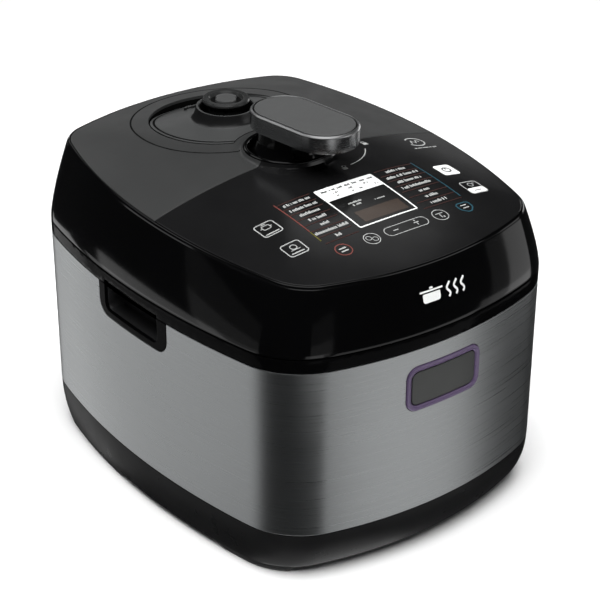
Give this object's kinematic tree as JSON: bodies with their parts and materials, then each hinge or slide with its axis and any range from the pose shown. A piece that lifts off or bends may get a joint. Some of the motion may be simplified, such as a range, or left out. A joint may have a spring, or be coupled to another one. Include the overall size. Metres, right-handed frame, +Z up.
{
  "type": "electric pressure cooker",
  "caption": "Countertop electric pressure cooker with a hinged lid, turning lock knob, steam valve, touch panel, steel wrap and push button lid release.",
  "frame": {"origin": "middle of the footprint on the surface that the feet stand on", "axes": "+Z up, -Y towards the front with the release button, +X to the right seen from the front; the lid hinge runs along X at the rear"},
  "size_m": [0.304, 0.3828, 0.3005],
  "materials": {
    "gloss_black_plastic": "high gloss black moulding",
    "satin_black_plastic": "fine satin moulding",
    "dark_grey_plastic": "satin dark grey moulding",
    "panel_plastic": "semi-gloss black touch panel with printed marks",
    "smoked_window": "smoked display window with a pale printed frame",
    "brushed_steel_wrap": "horizontally brushed stainless steel",
    "knob_metal": "dark brushed metal rim with a bright edge",
    "knob_grey_plastic": "satin grey inlay",
    "purple_plastic": "muted purple button frame",
    "button_plastic": "dark grey satin button",
    "valve_cap_plastic": "black moulded valve cap",
    "aluminium_parts": "satin stamped and cast aluminium",
    "pot_coating": "dark non-stick coating with fine speckle",
    "silicone_seal": "translucent white silicone",
    "foot_rubber": "matt black rubber",
    "circuit_board": "green circuit board",
    "spring_steel": "bright steel"
  },
  "bodies": {
    "body": {"base_shell": "satin_black_plastic", "bottom_plate": "satin_black_plastic", "foot_front_left": "foot_rubber", "foot_front_right": "foot_rubber", "foot_rear_left": "foot_rubber", "foot_rear_right": "foot_rubber", "steel_wrap": "brushed_steel_wrap", "upper_ring": "gloss_black_plastic", "left_grip_pocket": "satin_black_plastic", "right_grip_pocket": "satin_black_plastic", "heat_shield": "aluminium_parts", "pressure_vessel": "aluminium_parts", "heating_plate": "aluminium_parts", "cooking_pot": "pot_coating", "sensor_housing": "satin_black_plastic", "sensor_spring": "spring_steel", "power_board": "circuit_board", "power_inlet": "satin_black_plastic", "condensation_dock": "satin_black_plastic", "hinge_shaft": "spring_steel", "release_frame": "purple_plastic", "latch_spring": "spring_steel", "base_screw_front_left": "spring_steel", "base_screw_front_right": "spring_steel", "base_screw_rear_left": "spring_steel", "base_screw_rear_right": "spring_steel"},
    "sensor": {"sensor_cap": "aluminium_parts"},
    "drip_cup": {"condensation_cup": "satin_black_plastic"},
    "button": {"release_button": "button_plastic"},
    "latch": {"latch_slider": "spring_steel"},
    "lid": {"lid_band": "gloss_black_plastic", "lid_rear_top": "dark_grey_plastic", "control_panel": "panel_plastic", "display_window": "smoked_window", "display_module": "satin_black_plastic", "control_board": "circuit_board", "knob_seat": "dark_grey_plastic", "valve_well": "dark_grey_plastic", "lid_lining": "satin_black_plastic", "lid_catch": "spring_steel", "lid_frame": "aluminium_parts", "inner_lid": "aluminium_parts", "sealing_gasket": "silicone_seal", "anti_block_cage": "aluminium_parts", "steam_pipe": "spring_steel"},
    "float": {"float_valve": "spring_steel"},
    "steam_weight": {"valve_weight": "spring_steel"},
    "steam_cap": {"valve_cap": "valve_cap_plastic"},
    "lock": {"knob_shaft": "spring_steel", "locking_ring": "aluminium_parts", "inner_lid_nut": "satin_black_plastic", "knob_pedestal": "gloss_black_plastic", "knob_core": "satin_black_plastic", "knob_rim": "knob_metal", "knob_inlay": "knob_grey_plastic"}
  },
  "joints": [
    {"name": "lid_hinge", "type": "hinge", "parent": "body", "child": "lid", "pos_m": [0, 0.174, 0.197], "axis": [-1, 0, 0], "range_deg": [0, 78]},
    {"name": "knob_turn", "type": "hinge", "parent": "lid", "child": "lock", "pos_m": [0, 0, 0.2], "axis": [0, 0, 1], "range_deg": [0, 45]},
    {"name": "valve_lift", "type": "slide", "parent": "lid", "child": "steam_weight", "axis": [0, 0, 1], "range_m": [0, 0.003]},
    {"name": "valve_cap_turn", "type": "hinge", "parent": "steam_weight", "child": "steam_cap", "pos_m": [0, 0.083, 0.27], "axis": [0, 0, 1], "range_deg": [0, 40]},
    {"name": "float_lift", "type": "slide", "parent": "lid", "child": "float", "axis": [0, 0, 1], "range_m": [0, 0.004]},
    {"name": "release_press", "type": "slide", "parent": "body", "child": "button", "axis": [0, 1, 0], "range_m": [0, 0.003], "stiffness_N_per_m": 400, "springref_m": -0.003, "deforming": ["latch_spring"]},
    {"name": "latch_slide", "type": "slide", "parent": "body", "child": "latch", "axis": [0, 1, 0], "range_m": [0, 0.003], "deforming": ["latch_spring"]},
    {"name": "sensor_press", "type": "slide", "parent": "body", "child": "sensor", "axis": [0, 0, -1], "range_m": [0, 0.003], "stiffness_N_per_m": 300, "springref_m": -0.003, "deforming": ["sensor_spring"]},
    {"name": "cup_slide", "type": "slide", "parent": "body", "child": "drip_cup", "axis": [0, 1, 0], "range_m": [0, 0.032]}
  ],
  "couplings": [
    {"joint": "latch_slide", "follows": "release_press", "ratio": 1}
  ]
}
